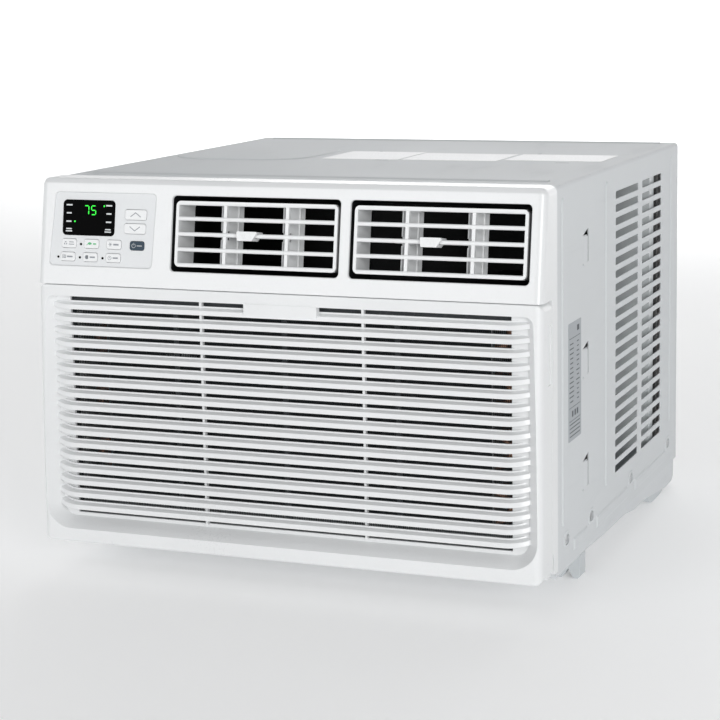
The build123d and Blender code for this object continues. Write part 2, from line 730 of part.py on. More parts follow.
with BuildPart() as run_capacitor:
    with Locations((-145, -140, 270.2)):
        Cylinder(20, 58, align=(Align.CENTER, Align.CENTER, Align.MIN))
    fillet(run_capacitor.faces().sort_by(Axis.Z)[-1].edges(), 2.5)
    with Locations((-152, -140, 327), (-138, -140, 327)):
        Box(1, 6, 12, align=(Align.CENTER, Align.CENTER, Align.MIN))
save(run_capacitor, "run_capacitor")

# ---- blower housing, bulkhead and condenser shroud ----
with BuildPart() as blower_housing:
    with BuildSketch(Plane.XZ.offset(70)):
        with Locations((fan_x, fan_z)):
            Circle(112)
        with Locations((fan_x, 222)):
            Rectangle(224, 114)
    extrude(amount=82)
    with Locations((62, -131, 317.5)):
        Box(348, 122, 91)
    with BuildSketch(Plane.XZ.offset(71.6)):
        with Locations((fan_x, fan_z)):
            Circle(110.4)
        with Locations((fan_x, 226)):
            Rectangle(220.8, 122)
    extrude(amount=78.8, mode=Mode.SUBTRACT)
    with Locations((62, -131, 317.5)):
        Box(344.8, 118.8, 87.8, mode=Mode.SUBTRACT)
    # inlet throat, shaft hole and the holes for the two ducts
    with BuildSketch(Plane.XZ.offset(150)):
        with Locations((fan_x, fan_z)):
            Circle(74)
    extrude(amount=8, mode=Mode.SUBTRACT)
    with BuildSketch(Plane.XZ.offset(149)):
        with Locations((fan_x, fan_z)):
            Circle(76)
            Circle(74, mode=Mode.SUBTRACT)
    extrude(amount=8)
    with Locations((fan_x, -70, fan_z)):
        Cylinder(9, 10, rotation=(90, 0, 0), mode=Mode.SUBTRACT)
    for x in outlet_x:
        with Locations((x, -191, 320)):
            Box(outlet_width + 2 * duct_wall + 1, 8, 82, mode=Mode.SUBTRACT)
save(blower_housing, "blower_housing")

suction_route = ((-170, 8, 222), (-170, 8, 252), (-170, -120, 252), (-221, -120, 252), (-221, -164, 252))
discharge_route = ((-128, 20, 220), (-128, 20, 335), (-215, 20, 335), (-215, 164, 335))
with BuildPart() as bulkhead:
    with Locations((0, -62.5, 198.5)):
        Box(476, 3, 331)
    with Locations((fan_x, -62.5, fan_z), (-170, -62.5, 252)):
        Cylinder(14, 10, rotation=(90, 0, 0), mode=Mode.SUBTRACT)
save(bulkhead, "bulkhead")

with BuildPart() as condenser_shroud:
    with Locations((0, 158, 191)):
        Box(472, 20, 342)
    with Locations((0, 160, 191)):
        Box(468, 20, 338, mode=Mode.SUBTRACT)
    with BuildSketch(Plane.XZ.offset(-150)):
        with Locations((fan_x, fan_z)):
            Circle(139)
    extrude(amount=40)
    with BuildSketch(Plane.XZ.offset(-152)):
        with Locations((fan_x, fan_z)):
            Circle(137)
    extrude(amount=50, mode=Mode.SUBTRACT)
    with Locations((-215, 149, 335)):
        Cylinder(8, 12, rotation=(90, 0, 0), mode=Mode.SUBTRACT)
save(condenser_shroud, "condenser_shroud")

# ---- compressor ----
comp_x = -150.0
comp_y = 8.0
with BuildPart() as compressor_shell:
    with BuildSketch(Plane.XZ) as half_section:
        with BuildLine():
            Polyline((0, 42), (46, 42), (52, 48), (56, 56), (56, 198), (52, 208), (40, 218), (22, 223),
                     (0, 224), close=True)
        make_face()
        fillet(half_section.vertices().sort_by_distance((56, 198))[0], 12)
    revolve(axis=Axis.Z)
    with BuildSketch(Plane.XY.offset(40)):
        for a in (90, 210, 330):
            with Locations((33 * cos(radians(a)), 33 * sin(radians(a)))):
                SlotOverall(88, 24, rotation=a)
        for a in (90, 210, 330):
            with Locations((66 * cos(radians(a)), 66 * sin(radians(a)))):
                Circle(3.3, mode=Mode.SUBTRACT)
    extrude(amount=3)
    with Locations((0, -54, 150)):
        Cylinder(17, 16, rotation=(90, 0, 0))
compressor_shell.part.position += Vector(comp_x, comp_y, 0)
save(compressor_shell, "compressor_shell")

with BuildPart() as compressor_mounts:
    for a in (90, 210, 330):
        x = comp_x + 66 * cos(radians(a))
        y = comp_y + 66 * sin(radians(a))
        with Locations((x, y, 28)):
            Cylinder(8.5, 4.5, align=(Align.CENTER, Align.CENTER, Align.MIN))
        with Locations((x, y, 32)):
            Cylinder(6.5, 3, align=(Align.CENTER, Align.CENTER, Align.MIN))
        with Locations((x, y, 34.5)):
            Cylinder(8.5, 5.5, align=(Align.CENTER, Align.CENTER, Align.MIN))
        with Locations((x, y, 39)):
            Cylinder(3, 12, align=(Align.CENTER, Align.CENTER, Align.MIN))
        with Locations((x, y, 43.1)):
            Cylinder(5.5, 4, align=(Align.CENTER, Align.CENTER, Align.MIN))
save(compressor_mounts, "compressor_mounts")


def tube(route, radius, bend):
    with BuildLine() as run:
        FilletPolyline(*route, radius=bend)
    start = Vector(*route[0])
    with BuildSketch(Plane(origin=start, z_dir=Vector(*route[1]) - start)) as ring:
        Circle(radius)
    sweep(sections=ring.sketch, path=run.wires()[0])


with BuildPart() as suction_tube:
    tube(suction_route, 4.8, 11)
save(suction_tube, "suction_tube")

with BuildPart() as discharge_tube:
    tube(discharge_route, 3.4, 10)
save(discharge_tube, "discharge_tube")

with BuildPart() as filter_drier:
    with BuildSketch(Plane.XZ) as half_drier:
        with BuildLine():
            Polyline((0, 0), (2.2, 0), (2.2, 8), (9.5, 16), (9.5, 64), (2.2, 72), (2.2, 80), (0, 80),
                     close=True)
        make_face()
    revolve(axis=Axis.Z)
filter_drier.part.position += Vector(-196, 96, 220)
save(filter_drier, "filter_drier")

with BuildPart() as capillary_tube:
    with BuildLine() as coil_line:
        Helix(pitch=3.6, height=25.2, radius=13)
    with BuildSketch(Plane(origin=coil_line.line @ 0, z_dir=coil_line.line % 0)):
        Circle(1.3)
    sweep(path=coil_line.wires()[0])
capillary_tube.part.position += Vector(-196, 60, 256)
save(capillary_tube, "capillary_tube")

with BuildPart() as air_sensor:
    with Locations((-120, -201.2, 200)):
        Box(14, 5, 9)
    with Locations((-120, -203.5, 200)):
        Cylinder(2.4, 30, rotation=(0, 90, 0))
save(air_sensor, "air_sensor")

with BuildPart() as cord_gland:
    with Locations((-side_x - 0.55, -150, 78)):
        Cylinder(12, 1.1, rotation=(0, 90, 0))
    with Locations((-side_x + 3.6, -150, 78)):
        Cylinder(8.9, 7.4, rotation=(0, 90, 0))
    with Locations((-side_x + 5.2, -150, 78)):
        Cylinder(11, 4, rotation=(0, 90, 0))
    with Locations((-side_x + 3, -150, 78)):
        Cylinder(4.2, 30, rotation=(0, 90, 0), mode=Mode.SUBTRACT)
save(cord_gland, "cord_gland")

# ---- fan motor and rotor ----
with BuildPart() as fan_motor:
    with BuildSketch(Plane.YZ.offset(fan_x)) as motor_half:
        with BuildLine():
            Polyline((-50, fan_z), (-50, fan_z + 16), (-46, fan_z + 20), (-44, fan_z + 44), (-38, fan_z + 47),
                     (2, fan_z + 47), (8, fan_z + 44), (10, fan_z + 20), (14, fan_z + 16), (14, fan_z),
                     close=True)
        make_face()
    revolve(axis=Axis((fan_x, 0, fan_z), (0, 1, 0)))
    with Locations((fan_x, -18, fan_z)):
        Cylinder(shaft_radius + 0.06, 100, rotation=(90, 0, 0), mode=Mode.SUBTRACT)
save(fan_motor, "fan_motor")

with BuildPart() as motor_bracket:
    with Locations((fan_x, -59.4, fan_z)):
        Box(130, 3, 130)
        Cylinder(24, 10, rotation=(90, 0, 0), mode=Mode.SUBTRACT)
    for a in (45, 135, 225, 315):
        with Locations((fan_x + 54 * cos(radians(a)), -30, fan_z + 54 * sin(radians(a)))):
            Cylinder(4, 57, rotation=(90, 0, 0))
    with BuildSketch(Plane.XZ.offset(28)):
        with Locations((fan_x, fan_z)):
            Circle(60)
            Circle(47.1, mode=Mode.SUBTRACT)
    extrude(amount=-14)
save(motor_bracket, "motor_bracket")

with BuildPart() as motor_shaft:
    with Locations((fan_x, -3, fan_z)):
        Cylinder(shaft_radius, 288, rotation=(90, 0, 0))
save(motor_shaft, "motor_shaft")

with BuildPart() as blower_wheel:
    with BuildSketch(Plane.XZ.offset(76)):
        with Locations((fan_x, fan_z)):
            Circle(94)
            Circle(shaft_radius + 0.02, mode=Mode.SUBTRACT)
    extrude(amount=2)
    with BuildSketch(Plane.XZ.offset(77)):
        with Locations((fan_x, fan_z)):
            Circle(14)
            Circle(shaft_radius + 0.02, mode=Mode.SUBTRACT)
            with PolarLocations(85.5, 36):
                Rectangle(17, 1.4, rotation=32)
    extrude(amount=70)
    with BuildSketch(Plane.XZ.offset(145)):
        with Locations((fan_x, fan_z)):
            Circle(95)
            Circle(87, mode=Mode.SUBTRACT)
    extrude(amount=2)
save(blower_wheel, "blower_wheel")

with BuildPart() as condenser_fan:
    with Locations((fan_x, 118, fan_z)):
        Cylinder(28, 30, rotation=(90, 0, 0))
    for i in range(5):
        a = radians(72 * i)
        pitch = radians(28)
        root = (fan_x + 24 * cos(a), 118, fan_z + 24 * sin(a))
        chord = (-sin(a) * cos(pitch), sin(pitch), cos(a) * cos(pitch))
        with BuildSketch(Plane(origin=root, x_dir=chord, z_dir=(cos(a), 0, sin(a)))):
            RectangleRounded(56, 2.4, 1)
        extrude(amount=107)
    with BuildSketch(Plane.XZ.offset(-122)):
        with Locations((fan_x, fan_z)):
            Circle(133.5)
            Circle(129.5, mode=Mode.SUBTRACT)
    extrude(amount=8)
    with Locations((fan_x, 118, fan_z)):
        Cylinder(shaft_radius + 0.02, 60, rotation=(90, 0, 0), mode=Mode.SUBTRACT)
save(condenser_fan, "condenser_fan")

# ---- filter on the back of the intake panel ----
with BuildPart() as filter_frame:
    with BuildSketch(Plane.XZ.offset(233.3)):
        with Locations((0, 155)):
            RectangleRounded(431, 208, 4)
            for x in (-160.5, -53.5, 53.5, 160.5):
                with Locations((x, 50), (x, -50)):
                    Rectangle(102, 95, mode=Mode.SUBTRACT)
    extrude(amount=4)
save(filter_frame, "filter_frame")

with BuildPart() as filter_mesh:
    with BuildSketch(Plane.XZ.offset(235)):
        with Locations((0, 155)):
            Rectangle(420, 198)
    extrude(amount=0.6)
save(filter_mesh, "filter_mesh")
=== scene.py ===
"""Looks of a window air conditioner: white front, enamelled cabinet, coils, fans and controls."""

import json
import math
import random

import bmesh
import bpy
from mathutils import Matrix, Vector


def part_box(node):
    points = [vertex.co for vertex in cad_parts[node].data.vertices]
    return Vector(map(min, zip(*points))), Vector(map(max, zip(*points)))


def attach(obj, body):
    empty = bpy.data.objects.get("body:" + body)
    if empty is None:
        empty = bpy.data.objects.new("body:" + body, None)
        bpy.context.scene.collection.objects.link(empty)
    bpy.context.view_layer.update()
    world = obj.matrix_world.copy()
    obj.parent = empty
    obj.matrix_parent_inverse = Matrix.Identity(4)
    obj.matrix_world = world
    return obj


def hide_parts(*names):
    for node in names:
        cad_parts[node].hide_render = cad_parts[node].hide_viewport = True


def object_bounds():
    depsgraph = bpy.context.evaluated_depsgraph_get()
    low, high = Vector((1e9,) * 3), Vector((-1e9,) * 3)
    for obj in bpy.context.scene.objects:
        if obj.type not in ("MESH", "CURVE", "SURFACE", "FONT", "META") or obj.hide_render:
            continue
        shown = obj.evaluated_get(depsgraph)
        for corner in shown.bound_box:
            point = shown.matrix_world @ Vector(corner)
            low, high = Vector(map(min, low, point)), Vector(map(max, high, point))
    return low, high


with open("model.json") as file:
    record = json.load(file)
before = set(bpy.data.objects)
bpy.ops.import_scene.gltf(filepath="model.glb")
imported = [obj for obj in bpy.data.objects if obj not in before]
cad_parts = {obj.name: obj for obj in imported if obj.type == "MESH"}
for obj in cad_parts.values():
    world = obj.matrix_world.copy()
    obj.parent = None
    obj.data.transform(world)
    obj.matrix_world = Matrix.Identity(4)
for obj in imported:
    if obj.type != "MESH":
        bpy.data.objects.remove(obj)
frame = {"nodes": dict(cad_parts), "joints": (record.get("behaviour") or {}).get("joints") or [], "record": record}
cad_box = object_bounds()
MM = 0.001
scene = bpy.context.scene


# ---------------------------------------------------------------- camera, floor and light
def camera(place, yaw, pitch, roll, lens, shift_y):
    """A camera at a place in metres, turned by angles in radians, with its lens in millimetres."""
    data = bpy.data.cameras.new("camera")
    data.lens = lens
    data.sensor_width = 36
    data.shift_y = shift_y
    data.clip_start = 0.05
    data.clip_end = 60
    forward = Vector((-math.sin(yaw) * math.cos(pitch),
                      math.cos(yaw) * math.cos(pitch),
                      math.sin(pitch)))
    level = Vector((math.cos(yaw), math.sin(yaw), 0))
    over = level.cross(forward)
    right = level * math.cos(roll) + over * math.sin(roll)
    up = over * math.cos(roll) - level * math.sin(roll)
    turn = Matrix((right, up, -forward)).transposed().to_4x4()
    cam = bpy.data.objects.new("camera", data)
    cam.matrix_world = Matrix.Translation(place) @ turn
    scene.collection.objects.link(cam)
    scene.camera = cam


camera(place=(0.70704, -1.81911, 0.53807), yaw=0.381305, pitch=-0.157473, roll=-0.0180808,
       lens=99.287, shift_y=-0.0833)


def stage_floor():
    """A paper sweep: flat under the unit, curved up behind it."""
    mesh = bpy.data.meshes.new("floor")
    bm = bmesh.new()
    size, rise, bend, half_width, steps = 9.0, 6.0, 2.5, 14, 16
    rows = [(-size, 0.0), (size - bend, 0.0)]
    for i in range(1, steps + 1):
        a = math.pi / 2 * i / steps
        rows.append((size - bend + bend * math.sin(a), bend * (1 - math.cos(a))))
    rows.append((size, rise))
    lines = [[bm.verts.new((x, y, z)) for x in (-half_width, half_width)] for y, z in rows]
    for a, b in zip(lines, lines[1:]):
        face = bm.faces.new((a[0], a[1], b[1], b[0]))
        face.smooth = True
    bm.to_mesh(mesh)
    bm.free()
    floor = bpy.data.objects.new("floor", mesh)
    scene.collection.objects.link(floor)
    mat = bpy.data.materials.new("floor_paper")
    mat.use_nodes = True
    shader = mat.node_tree.nodes["Principled BSDF"]
    shader.inputs["Base Color"].default_value = (0.90, 0.90, 0.90, 1)
    shader.inputs["Roughness"].default_value = 0.7
    shader.inputs["Emission Color"].default_value = (1, 1, 1, 1)
    shader.inputs["Emission Strength"].default_value = 0.22
    mesh.materials.append(mat)


stage_floor()


def area_light(name, place, aim, size, power):
    data = bpy.data.lights.new(name, "AREA")
    data.shape = "RECTANGLE"
    data.size, data.size_y = size
    data.energy = power
    lamp = bpy.data.objects.new(name, data)
    lamp.location = place
    lamp.rotation_mode = "QUATERNION"
    lamp.rotation_quaternion = (Vector(aim) - Vector(place)).to_track_quat("-Z", "Y")
    scene.collection.objects.link(lamp)


UNIT_MIDDLE = (0, 0, 0.2)
area_light("key", (-1.7, -3.5, 1.15), UNIT_MIDDLE, (2.0, 1.2), 25)
area_light("top", (-0.9, -0.4, 3.2), UNIT_MIDDLE, (2.2, 2.2), 4)
area_light("side", (2.4, -2.9, 0.9), UNIT_MIDDLE, (1.2, 1.2), 50)
area_light("rear", (-0.6, 3.4, 1.8), UNIT_MIDDLE, (2.4, 1.6), 16)
area_light("left", (-3.2, 0.3, 1.2), UNIT_MIDDLE, (1.8, 1.8), 10)
area_light("backdrop", (0, 4.6, 4.2), (0, 9.0, 1.0), (9.0, 2.5), 420)

world = bpy.data.worlds.new("studio")
scene.world = world
world.use_nodes = True
sky = world.node_tree.nodes["Background"]
sky.inputs["Color"].default_value = (0.97, 0.985, 1.0, 1)
sky.inputs["Strength"].default_value = 0.34
scene.view_settings.view_transform = "Standard"


# ---------------------------------------------------------------- materials
class Graph:
    """A short way to write node graphs."""

    def __init__(self, name):
        self.mat = bpy.data.materials.new(name)
        self.mat.use_nodes = True
        self.nodes = self.mat.node_tree.nodes
        self.links = self.mat.node_tree.links
        self.shader = self.nodes["Principled BSDF"]
        self.coords = self.nodes.new("ShaderNodeTexCoord").outputs["Object"]

    def put(self, value, socket):
        if isinstance(value, bpy.types.NodeSocket):
            self.links.new(value, socket)
        else:
            socket.default_value = value

    def math(self, kind, a, b=0.0, clamp=False):
        node = self.nodes.new("ShaderNodeMath")
        node.operation = kind
        node.use_clamp = clamp
        self.put(a, node.inputs[0])
        self.put(b, node.inputs[1])
        return node.outputs[0]

    def span(self, value, low, high, to_low=0.0, to_high=1.0):
        node = self.nodes.new("ShaderNodeMapRange")
        self.put(value, node.inputs["Value"])
        node.inputs["From Min"].default_value = low
        node.inputs["From Max"].default_value = high
        node.inputs["To Min"].default_value = to_low
        node.inputs["To Max"].default_value = to_high
        return node.outputs["Result"]

    def blend(self, factor, a, b):
        node = self.nodes.new("ShaderNodeMix")
        node.data_type = "RGBA"
        self.put(factor, node.inputs["Factor"])
        for value, socket in ((a, node.inputs["A"]), (b, node.inputs["B"])):
            self.put(value if isinstance(value, bpy.types.NodeSocket) else (*value, 1), socket)
        return node.outputs["Result"]

    def place(self, stretch):
        node = self.nodes.new("ShaderNodeMapping")
        self.links.new(self.coords, node.inputs["Vector"])
        node.inputs["Scale"].default_value = stretch
        return node.outputs["Vector"]

    def noise(self, scale, detail=2.0, stretch=(1, 1, 1), rough=0.5):
        node = self.nodes.new("ShaderNodeTexNoise")
        self.links.new(self.place(stretch), node.inputs["Vector"])
        node.inputs["Scale"].default_value = scale
        node.inputs["Detail"].default_value = detail
        node.inputs["Roughness"].default_value = rough
        return node.outputs["Fac"]

    def cells(self, scale):
        node = self.nodes.new("ShaderNodeTexVoronoi")
        self.links.new(self.place((1, 1, 1)), node.inputs["Vector"])
        node.inputs["Scale"].default_value = scale
        return node.outputs

    def edges(self, radius):
        """1 along convex and concave edges, 0 on flats."""
        bevel = self.nodes.new("ShaderNodeBevel")
        bevel.samples = 4
        bevel.inputs["Radius"].default_value = radius
        flat = self.nodes.new("ShaderNodeNewGeometry").outputs["Normal"]
        dot = self.nodes.new("ShaderNodeVectorMath")
        dot.operation = "DOT_PRODUCT"
        self.links.new(bevel.outputs["Normal"], dot.inputs[0])
        self.links.new(flat, dot.inputs[1])
        return self.span(dot.outputs["Value"], 0.995, 0.80)

    def bump(self, height, depth):
        node = self.nodes.new("ShaderNodeBump")
        node.inputs["Distance"].default_value = depth
        node.inputs["Strength"].default_value = 1.0
        self.links.new(height, node.inputs["Height"])
        self.links.new(node.outputs["Normal"], self.shader.inputs["Normal"])


def shade(colour, factor):
    return tuple(min(1.0, c * factor) for c in colour)


DUST = (0.55, 0.55, 0.53)


def moulded(name, colour, rough=0.35, grain=0.004, wear=1.06, vary=0.03, dirt=0.05, coat=0.0,
            ior=1.46, shine=0.5, glow=0.0):
    """Injection moulded plastic: fine grain, faint flow marks, rubbed edges, a little dust."""
    g = Graph(name)
    clouds = g.noise(9.0, 3.0, (1, 1, 0.6))
    fine = g.noise(2600.0, 2.0)
    speck = g.noise(420.0, 3.0)
    base = g.blend(g.span(clouds, 0.32, 0.68), shade(colour, 1 - vary),
                   shade(colour, 1 + vary * 0.4))
    settled = g.math("MULTIPLY", g.span(speck, 0.56, 0.72), dirt)
    base = g.blend(settled, base, DUST)
    rubbed = g.math("MULTIPLY", g.edges(0.0009),
                    g.span(g.noise(70.0, 3.0), 0.35, 0.65, 0.25, 0.8))
    g.put(g.blend(rubbed, base, shade(colour, wear)), g.shader.inputs["Base Color"])
    rough_mix = g.math("ADD", g.span(clouds, 0.3, 0.7, rough - 0.04, rough + 0.05),
                       g.span(speck, 0.4, 0.7, 0.0, 0.05))
    g.put(g.math("SUBTRACT", rough_mix, g.math("MULTIPLY", rubbed, 0.08), clamp=True),
          g.shader.inputs["Roughness"])
    g.bump(g.math("ADD", fine, g.math("MULTIPLY", speck, 0.5)), grain * MM)
    g.shader.inputs["IOR"].default_value = ior
    g.shader.inputs["Specular IOR Level"].default_value = shine
    g.shader.inputs["Coat Weight"].default_value = coat
    g.shader.inputs["Coat Roughness"].default_value = 0.12
    if glow:
        g.put((*colour, 1), g.shader.inputs["Emission Color"])
        g.shader.inputs["Emission Strength"].default_value = glow
    return g.mat


def enamel(name, colour, rough=0.32, peel=0.012, chip=(0.45, 0.46, 0.47), chips=0.10, coat=0.2,
           vary=0.03, ior=1.5, shine=0.5):
    """Baked enamel on sheet steel: orange peel, slight tone shifts, thin paint along folds."""
    g = Graph(name)
    clouds = g.noise(5.0, 3.0)
    peel_noise = g.noise(260.0, 1.0)
    scuffs = g.noise(34.0, 6.0, (1, 0.25, 1.6), 0.62)
    base = g.blend(g.span(clouds, 0.3, 0.7), shade(colour, 1 - vary),
                   shade(colour, 1 + vary * 0.5))
    base = g.blend(g.math("MULTIPLY", g.span(scuffs, 0.60, 0.76), 0.10), base,
                   shade(colour, 0.72))
    worn = g.span(g.noise(150.0, 4.0), 0.55, 0.72, 0.0, chips * 6)
    thin = g.math("MULTIPLY", g.edges(0.0011), worn, clamp=True)
    g.put(g.blend(thin, base, chip), g.shader.inputs["Base Color"])
    g.put(g.math("ADD", g.span(clouds, 0.3, 0.7, rough - 0.03, rough + 0.05),
                 g.math("MULTIPLY", g.span(scuffs, 0.55, 0.75), 0.14)),
          g.shader.inputs["Roughness"])
    ripple = g.math("MULTIPLY", g.noise(1400.0, 1.0), 0.25)
    g.bump(g.math("ADD", peel_noise, ripple), peel * MM)
    g.shader.inputs["IOR"].default_value = ior
    g.shader.inputs["Specular IOR Level"].default_value = shine
    g.shader.inputs["Coat Weight"].default_value = coat
    g.shader.inputs["Coat Roughness"].default_value = 0.18
    return g.mat


def spangled(name, colour, rough=0.42, metal=0.85, scale=110.0):
    """Galvanised sheet with zinc spangles, rolling marks and dull patches."""
    g = Graph(name)
    flakes = g.cells(scale)
    tone = g.nodes.new("ShaderNodeSeparateColor")
    g.links.new(flakes["Color"], tone.inputs["Color"])
    rolled = g.noise(420.0, 2.0, (1, 0.04, 0.04))
    dull = g.noise(14.0, 4.0)
    base = g.blend(g.span(tone.outputs[0], 0, 1), shade(colour, 0.86), shade(colour, 1.08))
    base = g.blend(g.math("MULTIPLY", g.span(dull, 0.5, 0.75), 0.35), base, (0.62, 0.63, 0.62))
    g.put(base, g.shader.inputs["Base Color"])
    g.put(g.math("ADD", g.span(tone.outputs[1], 0, 1, rough - 0.08, rough + 0.08),
                 g.math("MULTIPLY", dull, 0.12)), g.shader.inputs["Roughness"])
    g.shader.inputs["Metallic"].default_value = metal
    g.bump(g.math("ADD", rolled, g.math("MULTIPLY", tone.outputs[2], 0.4)), 0.01 * MM)
    return g.mat


def drawn(name, colour, tarnish, rough=0.3, along=(0.03, 1, 1), amount=0.55, metal=1.0):
    """Drawn or turned metal: fine lines along the run, with tarnished patches."""
    g = Graph(name)
    lines = g.noise(900.0, 2.0, along)
    patches = g.noise(38.0, 6.0, (1, 1, 1), 0.6)
    edge = g.edges(0.0006)
    mask = g.math("MULTIPLY", g.span(patches, 0.46, 0.66), amount)
    base = g.blend(mask, g.blend(lines, shade(colour, 0.9), shade(colour, 1.06)), tarnish)
    g.put(g.blend(g.math("MULTIPLY", edge, 0.5), base, shade(colour, 1.12)),
          g.shader.inputs["Base Color"])
    g.put(g.math("ADD", g.span(lines, 0, 1, rough - 0.06, rough + 0.08),
                 g.math("MULTIPLY", mask, 0.25)), g.shader.inputs["Roughness"])
    g.shader.inputs["Metallic"].default_value = metal
    g.bump(lines, 0.008 * MM)
    return g.mat


def rubber(name, colour):
    """Rubber or foam: matt, with a paler bloom in patches."""
    g = Graph(name)
    bloom = g.noise(55.0, 5.0)
    fine = g.noise(1500.0, 2.0)
    base = g.blend(g.span(bloom, 0.5, 0.75, 0, 0.5), colour, (0.16, 0.16, 0.155))
    g.put(g.blend(g.math("MULTIPLY", g.edges(0.0007), 0.4), base, (0.12, 0.12, 0.12)),
          g.shader.inputs["Base Color"])
    g.put(g.span(bloom, 0.3, 0.7, 0.62, 0.85), g.shader.inputs["Roughness"])
    g.bump(fine, 0.02 * MM)
    return g.mat


def printed(name, colour, rough=0.5):
    """Screen print or label stock: slightly uneven ink over paper fibre."""
    g = Graph(name)
    ink = g.noise(600.0, 3.0)
    fibre = g.noise(1800.0, 2.0, (1, 0.3, 1))
    g.put(g.blend(g.span(ink, 0.35, 0.65), shade(colour, 0.93), shade(colour, 1.05)),
          g.shader.inputs["Base Color"])
    g.put(g.span(ink, 0.3, 0.7, rough - 0.06, rough + 0.08), g.shader.inputs["Roughness"])
    g.bump(fibre, 0.006 * MM)
    return g.mat


LOOKS = {
    "white_plastic": moulded("white_plastic", (0.84, 0.85, 0.855), rough=0.30, coat=0.25),
    # Dark plastic of the outlet ducts: dark in itself, and pushed to near-black as painted shade for the duct
    # interiors.
    "dark_plastic": moulded("dark_plastic", (0.009, 0.0095, 0.0105), rough=0.5, wear=2.2,
                            dirt=0.012, shine=0.25),
    "fascia_plastic": moulded("fascia_plastic", (0.80, 0.815, 0.825), rough=0.42, grain=0.006),
    "button_plastic": moulded("button_plastic", (0.82, 0.83, 0.835), rough=0.30, coat=0.3,
                              wear=1.1),
    "power_plastic": moulded("power_plastic", (0.045, 0.07, 0.095), rough=0.38, wear=1.9,
                             shine=0.2),
    "display_black": moulded("display_black", (0.0012, 0.0013, 0.0015), rough=0.22,
                             grain=0.0005, dirt=0.002, wear=3.0, ior=1.3, shine=0.03),
    "lit_green": moulded("lit_green", (0.012, 0.62, 0.03), rough=0.4, glow=1.15, dirt=0.0),
    "light_grey_plastic": moulded("light_grey_plastic", (0.80, 0.83, 0.84), rough=0.40,
                                  grain=0.008, vary=0.08),
    "grey_foot": moulded("grey_foot", (0.60, 0.63, 0.645), rough=0.44, grain=0.012, dirt=0.10),
    "white_enamel": enamel("white_enamel", (0.68, 0.70, 0.712), rough=0.52, coat=0.0, ior=1.32,
                           shine=0.28),
    "galvanised_pan": enamel("grey_coated_steel", (0.68, 0.70, 0.715), rough=0.48, peel=0.016,
                             coat=0.0, ior=1.4),
    "black_enamel": enamel("black_enamel", (0.012, 0.012, 0.013), rough=0.30,
                           chip=(0.10, 0.10, 0.10), coat=0.5),
    "zinc_screw": drawn("zinc_screw", (0.66, 0.67, 0.68), (0.30, 0.31, 0.31), rough=0.28),
    "galvanised_sheet": spangled("galvanised_sheet", (0.60, 0.62, 0.63)),
    "fin_aluminium": drawn("fin_aluminium", (0.80, 0.81, 0.82), (0.52, 0.53, 0.53), rough=0.34,
                           along=(1, 1, 0.03)),
    "copper_tube": drawn("copper_tube", (0.80, 0.42, 0.26), (0.30, 0.14, 0.08), rough=0.26),
    "steel_shaft": drawn("steel_shaft", (0.55, 0.55, 0.56), (0.24, 0.22, 0.20), rough=0.24,
                         along=(1, 0.03, 1)),
    "black_rubber": rubber("black_rubber", (0.016, 0.016, 0.016)),
    "label_paper": printed("label_paper", (0.86, 0.865, 0.87), rough=0.42),
    "circuit_green": moulded("circuit_green", (0.02, 0.11, 0.045), rough=0.30, wear=1.4),
    # filter net near-black: painted shade for the dark space behind the intake slats
    "filter_net": moulded("filter_net", (0.03, 0.034, 0.037), rough=0.6, dirt=0.02, shine=0.2),
}
GREY_INK = printed("grey_ink", (0.30, 0.32, 0.345))
PALE_INK = printed("pale_ink", (0.42, 0.44, 0.46))
BRIGHT_INK = printed("bright_ink", (0.72, 0.75, 0.76))
GREEN_INK = printed("green_ink", (0.12, 0.50, 0.22))
DARK_INK = printed("dark_ink", (0.05, 0.06, 0.07))
LENS_BLACK = moulded("lens_black", (0.0015, 0.0018, 0.0018), rough=0.3, dirt=0.0, shine=0.05)
PLATE_GREY = printed("plate_grey", (0.36, 0.385, 0.41), rough=0.38)
# Evaporator fins darkened to near-black as painted shade for the dark interior behind the intake slats.
SHADE_DARK_FIN = drawn("fin_painted_shade", (0.075, 0.085, 0.09), (0.03, 0.035, 0.04), rough=0.45,
                   along=(1, 1, 0.03), metal=0.3)
# Filter frame ribs darkened as painted shade, so the gaps behind the intake slats read dark.
SHADE_DARK_FILTER_RIB = moulded("filter_rib_painted_shade", (0.045, 0.05, 0.054), rough=0.5, shine=0.3)

SLOT_OF = {row["node"]: row["material_slot"] for row in frame["record"]["subparts"]}
# edge rounding in millimetres; the small moving controls share one width
BEVELS = {"front_bezel": 0.6, "intake_grille": 0.45, "control_fascia": 0.3, "front_feet": 0.6,
          "rear_feet": 0.5, "rear_guard": 0.3, "outlet_ducts": 0.3, "cord_gland": 0.4,
          "left_louver_frame": 0.35, "right_louver_frame": 0.35, "cabinet_screws": 0.25,
          "display_window": 0.3, "condenser_shroud": 0.5, "compressor_mounts": 0.3,
          "fan_motor": 0.5, "control_box": 0.3, "run_capacitor": 0.3, "condenser_fan": 0.4,
          "filter_frame": 0.35}
CONTROL_BEVEL = 0.25
CONTROLS = ("_button", "_vane", "_slider")


def add_bevel(obj, mm):
    bevel = obj.modifiers.new("bevel", "BEVEL")
    bevel.width = mm * MM
    bevel.segments = 2
    bevel.limit_method = "ANGLE"
    bevel.angle_limit = math.radians(32)
    bevel.use_clamp_overlap = True
    bevel.miter_outer = "MITER_ARC"


for node, obj in frame["nodes"].items():
    obj.data.materials.clear()
    obj.data.materials.append(LOOKS[SLOT_OF[node]])
    width = BEVELS.get(node, CONTROL_BEVEL if node.endswith(CONTROLS) else 0)
    if width:
        add_bevel(obj, width)
frame["nodes"]["indicator_lamps"].data.materials[0] = LENS_BLACK
for vane in ("left_left_vane", "left_right_vane", "right_left_vane", "right_right_vane"):
    frame["nodes"][vane].data.materials[0] = LOOKS["white_plastic"]
frame["nodes"]["rating_label"].data.materials[0] = PLATE_GREY
# the filter frame takes the dark grey painted shade
frame["nodes"]["filter_frame"].data.materials[0] = SHADE_DARK_FILTER_RIB


